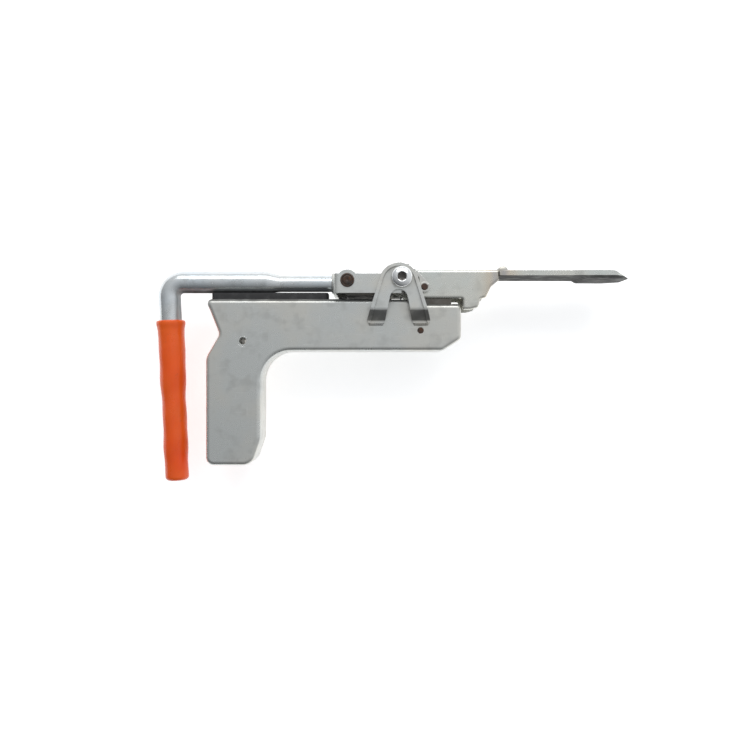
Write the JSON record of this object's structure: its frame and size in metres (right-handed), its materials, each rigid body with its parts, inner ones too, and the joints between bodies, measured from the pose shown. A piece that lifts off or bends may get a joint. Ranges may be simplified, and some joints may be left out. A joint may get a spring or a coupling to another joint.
{
  "type": "strapping tensioner tool",
  "caption": "Hand ratchet tensioner for lashing strap: a pistol frame, a swinging lever with a vinyl grip, a slotted windlass with ratchet wheels and pawls, and a long flat nose.",
  "frame": {"origin": "on the windlass axis, midway between the two sides of the tool", "axes": "+X along the nose, away from the grips; +Y from the hand grip up to the lever; +Z along the windlass axis, to the tool's right side, which is up as the tool lies on its left side"},
  "size_m": [0.4295, 0.1978, 0.0792],
  "materials": {
    "zinc_frame": "satin",
    "zinc_nose": "satin",
    "weld": "satin",
    "zinc_bar": "satin",
    "hardened_steel": "satin",
    "dark_pin": "matte",
    "bright_screw": "gloss",
    "bronze_bush": "satin",
    "spring_steel": "satin",
    "orange_vinyl": "gloss",
    "black_rubber": "matte"
  },
  "bodies": {
    "frame": {"frame_shell_right": "zinc_frame", "frame_shell_left": "zinc_frame", "hang_sleeve": "zinc_frame", "lever_rest": "black_rubber", "nose_anchor_right": "zinc_frame", "nose_anchor_left": "zinc_frame", "anchor_rivet": "dark_pin", "bracket_right": "zinc_frame", "bracket_left": "zinc_frame", "bracket_welds": "weld", "windlass_bush_right": "bronze_bush", "windlass_bush_left": "bronze_bush", "nose_channel": "zinc_nose", "nose_blade": "zinc_nose", "nose_weld": "weld", "holding_pawl_spring": "spring_steel"},
    "lever": {"lever_bar": "zinc_bar", "lever_grip": "orange_vinyl", "lever_yoke": "zinc_nose", "yoke_weld": "weld", "yoke_bush_right": "bronze_bush", "yoke_bush_left": "bronze_bush", "drive_pawl_pin": "dark_pin", "drive_pin_clip": "dark_pin", "drive_pawl_spring": "spring_steel"},
    "drive_pawl_body": {"drive_pawl": "hardened_steel"},
    "windlass": {"windlass_shaft": "hardened_steel", "ratchet_wheel_right": "hardened_steel", "ratchet_wheel_left": "hardened_steel", "wheel_keys": "hardened_steel", "hub_washer_right": "bright_screw", "hub_washer_left": "bright_screw", "hub_screw_right": "bright_screw", "hub_screw_left": "bright_screw"},
    "holding_pawls": {"holding_pawl_shaft": "dark_pin", "holding_pawl_right": "hardened_steel", "holding_pawl_left": "hardened_steel", "release_lever": "zinc_nose", "shaft_clips": "dark_pin"}
  },
  "joints": [
    {"name": "lever_swing", "type": "hinge", "parent": "frame", "child": "lever", "pos_m": [0, 0, 0], "axis": [0, 0, -1], "range_deg": [0, 120]},
    {"name": "windlass_spin", "type": "hinge", "parent": "frame", "child": "windlass", "pos_m": [0, 0, 0], "axis": [0, 0, 1], "continuous": true},
    {"name": "drive_engage", "type": "hinge", "parent": "lever", "child": "drive_pawl_body", "pos_m": [-0.048, -0.002, 0], "axis": [0, 0, 1], "range_deg": [0, 5]},
    {"name": "holding_release", "type": "hinge", "parent": "frame", "child": "holding_pawls", "pos_m": [0.02039, -0.0077, 0], "axis": [0, 0, -1], "range_deg": [0, 12], "stiffness_Nm_per_rad": 0.3, "springref_deg": -8.59}
  ]
}
